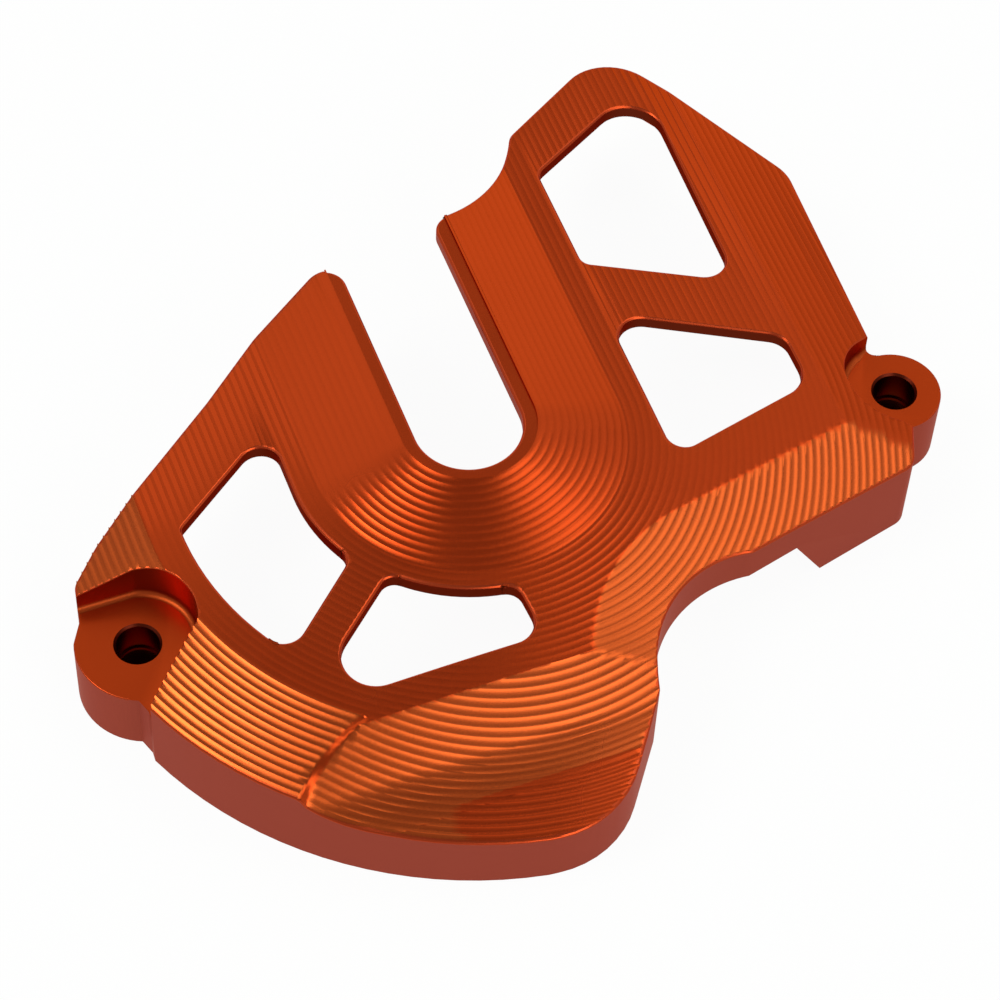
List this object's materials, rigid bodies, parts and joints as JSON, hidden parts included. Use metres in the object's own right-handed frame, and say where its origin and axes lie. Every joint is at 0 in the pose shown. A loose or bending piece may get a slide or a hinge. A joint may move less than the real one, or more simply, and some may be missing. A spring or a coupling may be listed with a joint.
{
  "type": "sprocket cover",
  "caption": "Curved billet cover plate with a round-ended slot, cut-out windows, bolt lugs and a scooped lower corner, finished in fine parallel milling passes.",
  "frame": {"origin": "centre of the slot's round end, on the mounting plane that the skirt and the lug seats stand on", "axes": "+Z out of the milled face, +Y along the slot towards its open end, +X towards the arm with the larger windows"},
  "size_m": [0.1427, 0.1296, 0.0252],
  "materials": {
    "anodised_aluminium": "red-orange anodised, satin, ball-nose milled"
  },
  "bodies": {
    "root": {"sprocket_cover": "anodised_aluminium"}
  },
  "joints": []
}
